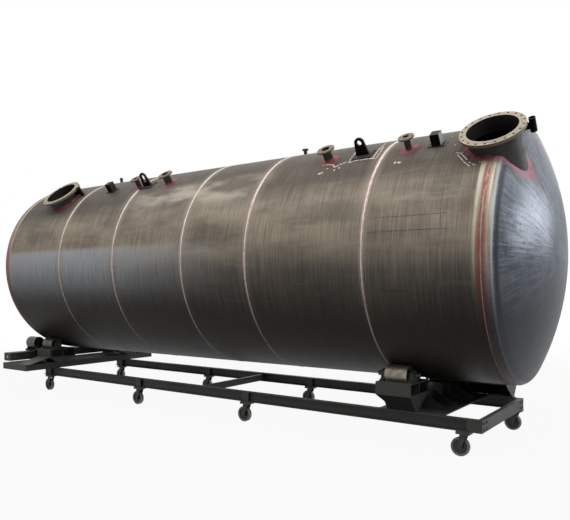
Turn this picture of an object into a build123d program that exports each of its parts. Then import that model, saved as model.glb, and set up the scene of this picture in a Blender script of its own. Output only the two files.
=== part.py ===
from build123d import *
import os
from math import atan2, cos, degrees, radians, sin, sqrt

# A horizontal steel storage tank, bare and half finished, lying on turning rollers that are carried
# by a wheeled stand. +X runs along the tank towards the head with the manway beside it, -Y is the
# side that the fittings lean towards, and Z = 0 is the floor. Millimetres.

# Shell and heads
tank_radius = 1500
shell_thickness = 10
course_lengths = (1491, 1307, 1414, 1106, 1632, 1299)
head_thickness = 10
head_flange_length = 20
knuckle_radius = 105
crown_radius = 3280

# Fits
fit_gap = 0.3
contact_gap = 0.3
overrun = 20

# Manways: distances are from the nearer head seam
manway_roll = 41
right_manway_inset = 23
left_manway_inset = 962
manway_neck_radius = 270
manway_neck_wall = 10
manway_standout = 150
manway_flange_radius = 335
manway_flange_thickness = 36
manway_bolt_circle_radius = 310
manway_bolt_hole_radius = 13
manway_bolt_count = 20

# Davit socket beside each manway
davit_angle = 15
davit_radius = 34
davit_wall = 8
davit_length = 150
davit_clear = 10
davit_web_thickness = 12
davit_web_height = 70

# Nozzles
nozzle_roll = 37
nozzle_standout = 150
large_right_inset = 2062
large_left_inset = 3391
large_pipe_radius = 57
large_pipe_wall = 6
large_flange_radius = 110
large_flange_thickness = 22
large_bolt_circle_radius = 90
large_bolt_hole_radius = 9
large_bolt_count = 8
small_right_inset = 1008
small_left_inset = 2743
small_pipe_radius = 38
small_pipe_wall = 5
small_flange_radius = 92.5
small_flange_thickness = 20
small_bolt_circle_radius = 72.5
small_bolt_hole_radius = 9
small_bolt_count = 4
raised_face_height = 3
raised_face_share = 0.72

# Lifting lugs on doubler pads
lug_right_inset = 1592
lug_left_inset = 2924
lug_width = 170
lug_thickness = 26
lug_height = 150
lug_top_radius = 62
lug_hole_radius = 31
lug_slot_length = 60
pad_length = 250
pad_width = 190
pad_thickness = 10

# Square cleats
cleat_right_inset = 666
cleat_left_inset = 2096
cleat_width = 105
cleat_height = 130
cleat_wall = 8
cleat_pad_length = 190
cleat_pad_width = 125
cleat_pad_thickness = 10

# Small stubs near the top line
vent_inset = 2890
vent_roll = 7
stub_inset = 1409
stub_roll = 6
stub_pipe_radius = 24
stub_pipe_wall = 5
stub_height = 62
vent_cap_radius = 46
vent_cap_height = 26
plug_radius = 34
plug_height = 36

# Casters
wheel_radius = 106
wheel_width = 50
wheel_hub_radius = 34
wheel_hub_width = 62
wheel_web_thickness = 22
wheel_rim_thickness = 26
wheel_edge_radius = 7
axle_radius = 10
axle_clearance = 0.1
caster_height = 252
caster_trail = 40
fork_thickness = 6
fork_gap = 4
fork_foot_radius = 24
fork_crown_radius = 48
fork_crown_height = 17
fork_shoulder_length = 78
caster_plate_length = 160
caster_plate_width = 130
caster_plate_thickness = 30
caster_plate_corner_radius = 12
near_caster_insets = (150, 3219, 5420, 7812)
far_caster_insets = (20, 3219, 5420, 7812)

# Rails and cross beams
rail_half_spacing = 808
rail_height = 140
rail_width = 74
rail_web = 7
rail_flange = 9
rail_right_inset = 231
rail_left_inset = 40
seat_plate_length = 112
seat_plate_thickness = 8
end_beam_depth = 60
end_beam_thickness = 8
mid_beam_inset = 4400
mid_beam_height = 100
mid_beam_width = 50
mid_beam_thickness = 8

# Rollers and their bearings
roller_angle = 31
roller_radius = 110
right_roller_length = 280
left_roller_length = 270
outer_roller_length = 260
roller_rim_thickness = 24
roller_recess = 16
roller_hub_radius = 52
roller_edge = 5
shaft_radius = 30
shaft_clearance = 0.1
shaft_stub = 56
bearing_width = 52
bearing_gap = 9
bearing_radius = 58
bearing_foot_length = 210
bearing_foot_height = 24
bearing_height = 80
left_bearing_width = 36
outer_bearing_width = 18
saddle_thickness = 12
outer_shaft_stub = 12

# Pedestals that carry the bearings
plate_thickness = 12
platform_height = 150
platform_margin = 19
platform_front_reach = 171
platform_back_reach = 339
roller_slot_clearance = 18
pedestal_height = 184
foot_half_depth = 50
gusset_count = 3
pedestal_corner = 85
far_platform_extension = 640
roller_slot_depth_clearance = 10

# Right cradle: base plate, cross beam and stiffeners
right_roller_inset = 1150
cradle_plate_thickness = 12
cradle_left_reach = 250
cradle_right_reach = 550
cradle_beam_half_width = 160
stiffener_count = 4
stiffener_foot_share = 0.75

# Left cradle: wide base, upper beam for the outer rollers and sloping braces
left_roller_inset = 280
outer_roller_offset = 245
base_height = 109
base_half_length = 1418
base_left_reach = 594
base_right_reach = 124
base_wall = 10
spacer_height = 30
spacer_length = 180
spacer_width = 120
upper_beam_height = 140
upper_beam_width = 195
upper_beam_wall = 9
upper_beam_half_length = 1380
upper_beam_hole_radius = 16
brace_width_share = 0.86
brace_outer_margin = 30

# Places worked out from the sizes above
shell_length = sum(course_lengths)
crown_back = sqrt((crown_radius - knuckle_radius) ** 2 - (tank_radius - knuckle_radius) ** 2)
head_depth = crown_radius + head_flange_length - crown_back
shaft_reach = bearing_gap + bearing_width
outer_shaft_half = outer_roller_length / 2 + bearing_gap + outer_bearing_width + outer_shaft_stub
left_overhang = max(head_depth, outer_roller_offset + outer_shaft_half)
right_seam_x = (shell_length + left_overhang - head_depth) / 2
left_seam_x = right_seam_x - shell_length
rail_bottom = caster_height + caster_plate_thickness
rail_top = rail_bottom + rail_height
rail_mid = rail_bottom + rail_height / 2
cradle_top = rail_top + cradle_plate_thickness
platform_bottom = cradle_top + pedestal_height
platform_top = platform_bottom + platform_height
roller_height = platform_top + bearing_height
roller_reach = tank_radius + roller_radius + contact_gap
roller_y = roller_reach * sin(radians(roller_angle))
axis_height = roller_height + roller_reach * cos(radians(roller_angle))
rail_right_x = right_seam_x - rail_right_inset
rail_left_x = left_seam_x + rail_left_inset
rail_length = rail_right_x - rail_left_x
right_roller_x = right_seam_x - right_roller_inset
left_roller_x = left_seam_x + left_roller_inset
outer_roller_x = left_seam_x - outer_roller_offset
base_top = rail_top + base_height
upper_beam_bottom = base_top + spacer_height
upper_beam_top = upper_beam_bottom + upper_beam_height
saddle_top = upper_beam_top + saddle_thickness
platform_front_y = roller_y + platform_front_reach
platform_back_y = roller_y - platform_back_reach

tank_axis = Axis((0, 0, axis_height), (1, 0, 0))

os.makedirs("parts", exist_ok=True)


def save(builder, name):
    builder.part.label = name
    export_step(builder.part, f"parts/{name}.step")


def fitting_plane(x, roll):
    """Plane on the tank's axis whose Z points out through the shell, rolled from the top towards -Y."""
    outward = (0, -sin(radians(roll)), cos(radians(roll)))
    return Plane((x, 0, axis_height), x_dir=(1, 0, 0), z_dir=outward)


def upright_plane(x, roll):
    """Plane along the tank's axis whose Y points out through the shell, for plates that stand on it."""
    sideways = (0, -cos(radians(roll)), -sin(radians(roll)))
    return Plane((x, 0, axis_height), x_dir=(1, 0, 0), z_dir=sideways)


def head_plane(side):
    """Plane through the tank's axis, its X pointing out of the head on that side, its Y up."""
    seam_x = right_seam_x if side > 0 else left_seam_x
    return Plane((seam_x, 0, axis_height), x_dir=(side, 0, 0), z_dir=(0, -side, 0))


def head_lines(skin):
    """Straight flange, knuckle and crown of a dished head, skin millimetres inside its outer face."""
    rise = tank_radius - knuckle_radius
    crown_x = head_flange_length - crown_back
    turn = degrees(atan2(rise, crown_back))
    Line((0, tank_radius - skin), (head_flange_length, tank_radius - skin))
    CenterArc((head_flange_length, rise), knuckle_radius - skin, 90, turn - 90)
    CenterArc((crown_x, 0), crown_radius - skin, turn, -turn)


# The space inside the tank, which trims the inner ends of necks and pipes
with BuildPart() as inside:
    for side in (1, -1):
        with BuildSketch(head_plane(side)):
            with BuildLine():
                head_lines(head_thickness)
                Line((0, tank_radius - head_thickness), (0, 0))
                Line((0, 0), (head_depth - head_thickness, 0))
            make_face()
        revolve(axis=tank_axis)
    with BuildSketch(Plane.YZ.offset(left_seam_x)):
        with Locations((0, axis_height)):
            Circle(tank_radius - shell_thickness)
    extrude(amount=shell_length)

# Holes in the shell and heads: place along X, roll and radius
shell_holes = (
    (right_seam_x - right_manway_inset, manway_roll, manway_neck_radius),
    (left_seam_x + left_manway_inset, manway_roll, manway_neck_radius),
    (right_seam_x - large_right_inset, nozzle_roll, large_pipe_radius),
    (left_seam_x + large_left_inset, nozzle_roll, large_pipe_radius),
    (right_seam_x - small_right_inset, nozzle_roll, small_pipe_radius),
    (left_seam_x + small_left_inset, nozzle_roll, small_pipe_radius),
    (right_seam_x - vent_inset, vent_roll, stub_pipe_radius),
    (left_seam_x + stub_inset, stub_roll, stub_pipe_radius),
)


def hole_plugs(low_x, high_x):
    """Round plugs for every hole that reaches the stretch of shell between two places along X."""
    plugs = []
    for x, roll, radius in shell_holes:
        hole_radius = radius + fit_gap
        if low_x - hole_radius < x < high_x + hole_radius:
            with BuildPart() as plug:
                with BuildSketch(fitting_plane(x, roll)):
                    Circle(hole_radius)
                extrude(amount=tank_radius + overrun)
            plugs.append(plug.part)
    return plugs


# Shell courses, numbered from the left
course_x = left_seam_x
for number, length in enumerate(course_lengths, start=1):
    plugs = hole_plugs(course_x, course_x + length)
    with BuildPart() as course:
        with BuildSketch(Plane.YZ.offset(course_x)):
            with Locations((0, axis_height)):
                Circle(tank_radius)
                Circle(tank_radius - shell_thickness, mode=Mode.SUBTRACT)
        extrude(amount=length)
        for plug in plugs:
            add(plug, mode=Mode.SUBTRACT)
    save(course, f"shell_course_{number}")
    course_x += length

# Dished heads
for side, name in ((1, "right_head"), (-1, "left_head")):
    seam_x = right_seam_x if side > 0 else left_seam_x
    tip_x = seam_x + side * head_depth
    plugs = hole_plugs(min(seam_x, tip_x), max(seam_x, tip_x))
    with BuildPart() as head:
        with BuildSketch(head_plane(side)):
            with BuildLine():
                head_lines(0)
                head_lines(head_thickness)
                Line((0, tank_radius), (0, tank_radius - head_thickness))
                Line((head_depth, 0), (head_depth - head_thickness, 0))
            make_face()
        revolve(axis=tank_axis)
        for plug in plugs:
            add(plug, mode=Mode.SUBTRACT)
    save(head, name)


def flanged_neck(plane, neck_radius, wall, standout, flange_radius, thickness, circle, hole, count):
    """A pipe neck, trimmed flush inside the tank, with a drilled flat flange on its outer end."""
    face = tank_radius + standout
    step = face - raised_face_height
    with BuildPart() as neck:
        with BuildSketch(plane):
            Circle(neck_radius)
        extrude(amount=step)
        with BuildSketch(plane.offset(step)):
            Circle(neck_radius + (flange_radius - neck_radius) * raised_face_share / 2)
        extrude(amount=raised_face_height)
        with BuildSketch(plane.offset(face - thickness)):
            Circle(flange_radius)
            with PolarLocations(circle, count):
                Circle(hole, mode=Mode.SUBTRACT)
        extrude(amount=thickness - raised_face_height)
        with BuildSketch(plane):
            Circle(neck_radius - wall)
        extrude(amount=face + overrun, mode=Mode.SUBTRACT)
        add(inside.part, mode=Mode.SUBTRACT)
    return neck


# Manways
for name, x in (
    ("right_manway", right_seam_x - right_manway_inset),
    ("left_manway", left_seam_x + left_manway_inset),
):
    manway = flanged_neck(
        fitting_plane(x, manway_roll),
        manway_neck_radius,
        manway_neck_wall,
        manway_standout,
        manway_flange_radius,
        manway_flange_thickness,
        manway_bolt_circle_radius,
        manway_bolt_hole_radius,
        manway_bolt_count,
    )
    save(manway, name)

# Davit sockets, one on the +X side of each manway
davit_offset = manway_flange_radius + davit_clear + davit_radius
with BuildPart() as davits:
    for x in (right_seam_x - right_manway_inset, left_seam_x + left_manway_inset):
        plane = fitting_plane(x, manway_roll)
        top = tank_radius + manway_standout
        web_top = top - manway_flange_thickness - davit_clear
        with BuildSketch(plane.offset(top - davit_length)):
            with PolarLocations(davit_offset, 1, start_angle=davit_angle):
                Circle(davit_radius)
        extrude(amount=davit_length)
        with BuildSketch(plane.offset(web_top - davit_web_height)):
            with PolarLocations(davit_offset / 2, 1, start_angle=davit_angle):
                Rectangle(davit_offset, davit_web_thickness)
            Circle(manway_neck_radius + fit_gap, mode=Mode.SUBTRACT)
        extrude(amount=davit_web_height)
        with BuildSketch(plane.offset(top - davit_length - overrun)):
            with PolarLocations(davit_offset, 1, start_angle=davit_angle):
                Circle(davit_radius - davit_wall)
        extrude(amount=davit_length + overrun * 2, mode=Mode.SUBTRACT)
save(davits, "davit_sockets")

# Pipe nozzles
for name, x in (
    ("large_nozzle_right", right_seam_x - large_right_inset),
    ("large_nozzle_left", left_seam_x + large_left_inset),
):
    nozzle = flanged_neck(
        fitting_plane(x, nozzle_roll),
        large_pipe_radius,
        large_pipe_wall,
        nozzle_standout,
        large_flange_radius,
        large_flange_thickness,
        large_bolt_circle_radius,
        large_bolt_hole_radius,
        large_bolt_count,
    )
    save(nozzle, name)
for name, x in (
    ("small_nozzle_right", right_seam_x - small_right_inset),
    ("small_nozzle_left", left_seam_x + small_left_inset),
):
    nozzle = flanged_neck(
        fitting_plane(x, nozzle_roll),
        small_pipe_radius,
        small_pipe_wall,
        nozzle_standout,
        small_flange_radius,
        small_flange_thickness,
        small_bolt_circle_radius,
        small_bolt_hole_radius,
        small_bolt_count,
    )
    save(nozzle, name)


def curved_pad(x, roll, length, width, thickness):
    """A doubler plate rolled to the shell, lying on it."""
    half_angle = degrees(width / 2 / tank_radius)
    start = 90 + roll - half_angle
    inner = tank_radius + fit_gap
    centre = (0, axis_height)
    with BuildPart() as pad:
        with BuildSketch(Plane.YZ.offset(x - length / 2)):
            with BuildLine():
                low = CenterArc(centre, inner, start, half_angle * 2)
                high = CenterArc(centre, inner + thickness, start, half_angle * 2)
                Line(low @ 0, high @ 0)
                Line(low @ 1, high @ 1)
            make_face()
        extrude(amount=length)
    return pad.part


# Lifting lugs: the right one has a round eye, the left one a slot
for name, x, slot in (
    ("right_lifting_lug", right_seam_x - lug_right_inset, 0),
    ("left_lifting_lug", left_seam_x + lug_left_inset, lug_slot_length),
):
    foot = tank_radius + fit_gap + pad_thickness / 2
    eye = tank_radius + pad_thickness + lug_height
    pad = curved_pad(x, nozzle_roll, pad_length, pad_width, pad_thickness)
    with BuildPart() as lug:
        add(pad)
        with BuildSketch(upright_plane(x, nozzle_roll)):
            with Locations((0, foot + pad_thickness / 2)):
                Rectangle(lug_width, pad_thickness)
            with Locations((0, eye)):
                Circle(lug_top_radius)
            make_hull()
        extrude(amount=lug_thickness / 2, both=True)
        with BuildSketch(upright_plane(x, nozzle_roll)):
            with Locations((0, eye)):
                Circle(lug_hole_radius)
            with Locations((0, eye - slot)):
                Circle(lug_hole_radius)
            make_hull()
        extrude(amount=lug_thickness, both=True, mode=Mode.SUBTRACT)
    save(lug, name)

# Square cleats: a capped square tube on a pad
for name, x in (
    ("right_cleat", right_seam_x - cleat_right_inset),
    ("left_cleat", left_seam_x + cleat_left_inset),
):
    plane = fitting_plane(x, nozzle_roll)
    foot = tank_radius + fit_gap + cleat_pad_thickness / 2
    top = tank_radius + cleat_pad_thickness + cleat_height
    bore = cleat_width - cleat_wall * 2
    pad = curved_pad(x, nozzle_roll, cleat_pad_length, cleat_pad_width, cleat_pad_thickness)
    with BuildPart() as cleat:
        add(pad)
        with BuildSketch(plane.offset(foot)):
            Rectangle(cleat_width, cleat_width)
        extrude(amount=top - foot)
        with BuildSketch(plane.offset(tank_radius + cleat_pad_thickness * 2)):
            Rectangle(bore, bore)
        extrude(amount=top - tank_radius - cleat_pad_thickness * 2 - cleat_wall, mode=Mode.SUBTRACT)
    save(cleat, name)

# Small pipe stubs near the top line: one with a mushroom cap, one with a plug
for name, x, roll, cap_radius, cap_height in (
    ("top_vent", right_seam_x - vent_inset, vent_roll, vent_cap_radius, vent_cap_height),
    ("top_plug", left_seam_x + stub_inset, stub_roll, plug_radius, plug_height),
):
    plane = fitting_plane(x, roll)
    with BuildPart() as stub:
        with BuildSketch(plane):
            Circle(stub_pipe_radius)
        extrude(amount=tank_radius + stub_height)
        with BuildSketch(plane.offset(tank_radius + stub_height)):
            Circle(cap_radius)
        extrude(amount=cap_height, taper=degrees(atan2(cap_height, cap_radius)) / 2)
        with BuildSketch(plane):
            Circle(stub_pipe_radius - stub_pipe_wall)
        extrude(amount=tank_radius + stub_height, mode=Mode.SUBTRACT)
        add(inside.part, mode=Mode.SUBTRACT)
    save(stub, name)

# Rails: rolled beams with boxed seats at the right end and over the other casters
near_caster_x = [rail_right_x - inset for inset in near_caster_insets]
far_caster_x = [rail_right_x - inset for inset in far_caster_insets]
for name, side, caster_x in (("near_rail", -1, near_caster_x), ("far_rail", 1, far_caster_x)):
    with BuildPart() as rail:
        with BuildSketch(Plane.YZ.offset(rail_left_x)):
            with Locations((side * rail_half_spacing, rail_mid)):
                Rectangle(rail_web, rail_height)
            with Locations(
                (side * rail_half_spacing, rail_bottom + rail_flange / 2),
                (side * rail_half_spacing, rail_top - rail_flange / 2),
            ):
                Rectangle(rail_width, rail_flange)
        extrude(amount=rail_length)
        seat_ends = [rail_right_x, *[x + seat_plate_length / 2 for x in caster_x[1:]]]
        for seat_end in seat_ends:
            with BuildSketch(Plane.YZ.offset(seat_end - seat_plate_length)):
                for edge in (-1, 1):
                    seat_y = side * rail_half_spacing + edge * (rail_width - seat_plate_thickness) / 2
                    with Locations((seat_y, rail_mid)):
                        Rectangle(seat_plate_thickness, rail_height - rail_flange)
            extrude(amount=seat_plate_length)
    save(rail, name)

# End beam: a channel across the rails' right ends, its web outward and its two ends plated
with BuildPart() as end_beam:
    with BuildSketch(Plane.XZ.offset(-rail_half_spacing - rail_width / 2)):
        with Locations((rail_right_x + end_beam_depth - end_beam_thickness / 2, rail_mid)):
            Rectangle(end_beam_thickness, rail_height)
        with Locations(
            (rail_right_x + end_beam_depth / 2, rail_bottom + end_beam_thickness / 2),
            (rail_right_x + end_beam_depth / 2, rail_top - end_beam_thickness / 2),
        ):
            Rectangle(end_beam_depth, end_beam_thickness)
    extrude(amount=rail_half_spacing * 2 + rail_width)
    for side in (-1, 1):
        with BuildSketch(Plane.XZ.offset(side * (rail_half_spacing + rail_width / 2))):
            with Locations((rail_right_x + end_beam_depth / 2, rail_mid)):
                Rectangle(end_beam_depth, rail_height)
        extrude(amount=-side * end_beam_thickness)
save(end_beam, "right_end_beam")

# Middle cross beam: a channel between the rails' webs
mid_beam_x = right_seam_x - mid_beam_inset
mid_beam_half_length = rail_half_spacing - rail_web / 2
with BuildPart() as mid_beam:
    with BuildSketch(Plane.XZ.offset(-mid_beam_half_length)):
        with Locations((mid_beam_x, rail_mid)):
            Rectangle(mid_beam_width, mid_beam_height)
            with Locations((-mid_beam_thickness, 0)):
                Rectangle(
                    mid_beam_width,
                    mid_beam_height - mid_beam_thickness * 2,
                    mode=Mode.SUBTRACT,
                )
    extrude(amount=mid_beam_half_length * 2)
save(mid_beam, "mid_cross_beam")


def pedestal(x, roller_bay, slot_length, foot_level, extension):
    """Bearing stand: tapered legs over the rail, and an open-ended box on them slotted for the roller."""
    width = roller_bay + extension
    middle_x = x + extension / 2
    depth = platform_front_y - platform_back_y
    middle_y = -(platform_front_y + platform_back_y) / 2
    left_x = x - roller_bay / 2
    corner_x = left_x + pedestal_corner
    foot_front = rail_half_spacing + foot_half_depth
    foot_back = rail_half_spacing - foot_half_depth
    roller_chord = sqrt(roller_radius**2 - bearing_height**2)
    slot_width = (roller_chord + roller_slot_clearance) * 2
    slot_depth = roller_radius - bearing_height + roller_slot_depth_clearance
    front_line = ((-platform_front_y, platform_bottom), (-foot_front, foot_level))
    with BuildPart() as stand:
        for index in range(gusset_count):
            gusset_x = left_x + (width - plate_thickness) * index / (gusset_count - 1)
            with BuildSketch(Plane.YZ.offset(gusset_x)):
                Polygon(
                    *front_line,
                    (-foot_back, foot_level),
                    (-platform_back_y, platform_bottom),
                    align=None,
                )
            extrude(amount=plate_thickness)
        with BuildSketch(Plane.YZ.offset(left_x)):
            Polygon(
                *front_line,
                (-foot_front + plate_thickness, foot_level),
                (-platform_front_y + plate_thickness, platform_bottom),
                align=None,
            )
        extrude(amount=width)
        with BuildSketch(Plane.XZ.offset(platform_back_y)):
            Polygon(
                (left_x, platform_bottom),
                (corner_x, max(platform_bottom - pedestal_corner, foot_level + overrun)),
                (corner_x, foot_level),
                (left_x, foot_level),
                align=None,
            )
        extrude(amount=depth, mode=Mode.SUBTRACT)
        for level in (platform_top - plate_thickness, platform_bottom):
            with BuildSketch(Plane.XY.offset(level)):
                with Locations((middle_x, middle_y)):
                    Rectangle(width, depth)
            extrude(amount=plate_thickness)
        with BuildSketch(Plane.XY.offset(platform_bottom)):
            for y in (
                -platform_front_y + plate_thickness / 2,
                middle_y,
                -platform_back_y - plate_thickness / 2,
            ):
                with Locations((middle_x, y)):
                    Rectangle(width, plate_thickness)
        extrude(amount=platform_height)
        with BuildSketch(Plane.XY.offset(platform_top)):
            with Locations((x, -roller_y)):
                Rectangle(slot_length, slot_width)
        extrude(amount=-slot_depth, mode=Mode.SUBTRACT)
    return stand


left_shaft_reach = bearing_gap + left_bearing_width
right_platform_width = right_roller_length + (shaft_reach + platform_margin) * 2
left_platform_width = left_roller_length + (left_shaft_reach + platform_margin) * 2
for name, x, width, length, foot_level, extension in (
    ("right", right_roller_x, right_platform_width, right_roller_length, cradle_top, far_platform_extension),
    ("left", left_roller_x, left_platform_width, left_roller_length, base_top, 0),
):
    slot_length = length + bearing_gap * 2
    near_pedestal = pedestal(x, width, slot_length, foot_level, 0)
    far_pedestal = pedestal(x, width, slot_length, foot_level, extension)
    with BuildPart() as pedestals:
        add(near_pedestal.part)
        mirror(far_pedestal.part, about=Plane.XZ)
    save(pedestals, f"{name}_pedestals")

# Right cradle: a base plate over both rails with a cross beam and sloping stiffeners on it
cradle_half_length = rail_half_spacing + rail_width / 2
cradle_beam_half_length = platform_back_y
cradle_length_x = cradle_left_reach + cradle_right_reach
far_strip_length = right_platform_width / 2 + far_platform_extension + platform_margin
stiffener_reach = (cradle_right_reach - cradle_beam_half_width) * stiffener_foot_share
with BuildPart() as cradle:
    with BuildSketch(Plane.XY.offset(rail_top)):
        with Locations((right_roller_x + (cradle_right_reach - cradle_left_reach) / 2, 0)):
            Rectangle(cradle_length_x, cradle_half_length * 2)
    extrude(amount=cradle_plate_thickness)
    with BuildSketch(Plane.XY.offset(rail_top)):
        with Locations((right_roller_x + far_strip_length / 2, rail_half_spacing)):
            Rectangle(far_strip_length, rail_width)
    extrude(amount=cradle_plate_thickness)
    with BuildSketch(Plane.XZ.offset(-cradle_beam_half_length)):
        with Locations((right_roller_x, platform_bottom - plate_thickness / 2)):
            Rectangle(cradle_beam_half_width * 2, plate_thickness)
        for edge in (-1, 1):
            web_x = right_roller_x + edge * (cradle_beam_half_width - plate_thickness)
            with Locations((web_x, cradle_top + pedestal_height / 2)):
                Rectangle(plate_thickness, pedestal_height)
    extrude(amount=cradle_beam_half_length * 2)
    web_face_x = right_roller_x + cradle_beam_half_width - plate_thickness
    for index in range(stiffener_count):
        spread = index / (stiffener_count - 1) * 2 - 1
        stiffener_y = spread * (cradle_beam_half_length - plate_thickness)
        with BuildSketch(Plane.XZ.offset(-stiffener_y)):
            Polygon(
                (web_face_x, cradle_top),
                (web_face_x + stiffener_reach, cradle_top),
                (web_face_x, platform_bottom - plate_thickness),
                align=None,
            )
        extrude(amount=plate_thickness / 2, both=True)
save(cradle, "right_cradle")

# Left base: a wide tray, open below, over both rails, with spacers for the upper beam
base_length_x = base_left_reach + base_right_reach
base_x = left_roller_x + (base_right_reach - base_left_reach) / 2
with BuildPart() as base:
    with BuildSketch(Plane.XY.offset(rail_top)):
        with Locations((base_x, 0)):
            Rectangle(base_length_x, base_half_length * 2)
    extrude(amount=base_height)
    with BuildSketch(Plane.XY.offset(rail_top)):
        with Locations((base_x, 0)):
            Rectangle(base_length_x - base_wall * 2, base_half_length * 2 - base_wall * 2)
    extrude(amount=base_height - base_wall, mode=Mode.SUBTRACT)
    with BuildSketch(Plane.XY.offset(base_top)):
        with Locations((outer_roller_x, rail_half_spacing), (outer_roller_x, -rail_half_spacing)):
            Rectangle(spacer_width, spacer_length)
    extrude(amount=spacer_height)
save(base, "left_base")

# Upper beam: a channel along Y with end plates, its web towards the tank
with BuildPart() as upper_beam:
    with BuildSketch(Plane.XY.offset(upper_beam_bottom)):
        with Locations((outer_roller_x, 0)):
            Rectangle(upper_beam_width, upper_beam_half_length * 2)
    extrude(amount=upper_beam_height)
    with BuildSketch(Plane.XY.offset(upper_beam_bottom + upper_beam_wall)):
        with Locations((outer_roller_x - upper_beam_wall, 0)):
            Rectangle(upper_beam_width, upper_beam_half_length * 2 - upper_beam_wall * 2)
    extrude(amount=upper_beam_height - upper_beam_wall * 2, mode=Mode.SUBTRACT)
    with BuildSketch(Plane.XZ):
        with Locations((outer_roller_x, upper_beam_bottom + upper_beam_height / 2)):
            Circle(upper_beam_hole_radius)
    extrude(amount=upper_beam_half_length + overrun, both=True, mode=Mode.SUBTRACT)
save(upper_beam, "left_upper_beam")

# Braces: sloping plates from the left platforms' fronts down to the outer ends of the base
brace_width = left_platform_width * brace_width_share
brace_foot_y = base_half_length - brace_outer_margin
with BuildPart() as braces:
    for side in (-1, 1):
        with BuildSketch(Plane.YZ.offset(left_roller_x - brace_width / 2)):
            Polygon(
                (side * platform_front_y, platform_bottom + plate_thickness),
                (side * platform_front_y, platform_bottom),
                (side * (brace_foot_y - plate_thickness), base_top),
                (side * brace_foot_y, base_top),
                align=None,
            )
        extrude(amount=brace_width)
save(braces, "left_braces")


def bearing(x, y, level, centre_height, width):
    """A plummer block along X: a foot, a body rounded over the shaft, and its bore."""
    with BuildPart() as block:
        with BuildSketch(Plane.YZ.offset(x - width / 2)):
            with Locations((y, level + centre_height)):
                Circle(bearing_radius)
            with Locations((y, level + bearing_foot_height)):
                Rectangle(bearing_radius * 2 + bearing_foot_height, bearing_foot_height)
            make_hull()
            with Locations((y, level + bearing_foot_height / 2)):
                Rectangle(bearing_foot_length, bearing_foot_height)
            with Locations((y, level + centre_height)):
                Circle(shaft_radius + shaft_clearance, mode=Mode.SUBTRACT)
        extrude(amount=width)
    return block.part


# Rollers and bearings, two bearings to a roller
roller_sets = (
    ("right", right_roller_x, right_roller_length, platform_top, bearing_width, shaft_stub),
    ("left", left_roller_x, left_roller_length, platform_top, left_bearing_width, outer_shaft_stub),
    ("outer", outer_roller_x, outer_roller_length, saddle_top, outer_bearing_width, outer_shaft_stub),
)
for name, x, length, level, block_width, stub in roller_sets:
    blocks = []
    for side in (-1, 1):
        for end in (-1, 1):
            bearing_x = x + end * (length / 2 + bearing_gap + block_width / 2)
            centre_height = roller_height - level
            blocks.append(bearing(bearing_x, side * roller_y, level, centre_height, block_width))
    with BuildPart() as bearings:
        add(blocks)
        if level == saddle_top:
            with BuildSketch(Plane.XY.offset(upper_beam_top)):
                with Locations((x, roller_y), (x, -roller_y)):
                    Rectangle(length + (bearing_gap + block_width) * 2, bearing_foot_length)
            extrude(amount=saddle_thickness)
    save(bearings, f"{name}_bearings")
    for side, side_name in ((-1, "near"), (1, "far")):
        roller_axis = Axis((x, side * roller_y, roller_height), (1, 0, 0))
        half = length / 2
        shaft_half = half + bearing_gap + block_width + stub
        with BuildPart() as roller:
            with BuildSketch(Plane((x, side * roller_y, roller_height), x_dir=(1, 0, 0), z_dir=(0, -1, 0))):
                with BuildLine():
                    Polyline(
                        (-shaft_half, 0),
                        (-shaft_half, shaft_radius),
                        (-half, shaft_radius),
                        (-half, roller_hub_radius),
                        (-half + roller_recess, roller_hub_radius),
                        (-half + roller_recess, roller_radius - roller_rim_thickness),
                        (-half, roller_radius - roller_rim_thickness),
                        (-half, roller_radius - roller_edge),
                        (-half + roller_edge, roller_radius),
                        (half - roller_edge, roller_radius),
                        (half, roller_radius - roller_edge),
                        (half, roller_radius - roller_rim_thickness),
                        (half - roller_recess, roller_radius - roller_rim_thickness),
                        (half - roller_recess, roller_hub_radius),
                        (half, roller_hub_radius),
                        (half, shaft_radius),
                        (shaft_half, shaft_radius),
                        (shaft_half, 0),
                        close=True,
                    )
                make_face()
            revolve(axis=roller_axis)
        save(roller, f"{name}_{side_name}_roller")

# Casters: bolted top plates, swivelling forks and wheels
with BuildPart() as caster_plates:
    with BuildSketch(Plane.XY.offset(caster_height)):
        for side, caster_x in ((-1, near_caster_x), (1, far_caster_x)):
            with Locations(*[(x, side * rail_half_spacing) for x in caster_x]):
                RectangleRounded(caster_plate_length, caster_plate_width, caster_plate_corner_radius)
    extrude(amount=caster_plate_thickness)
save(caster_plates, "caster_plates")

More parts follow.
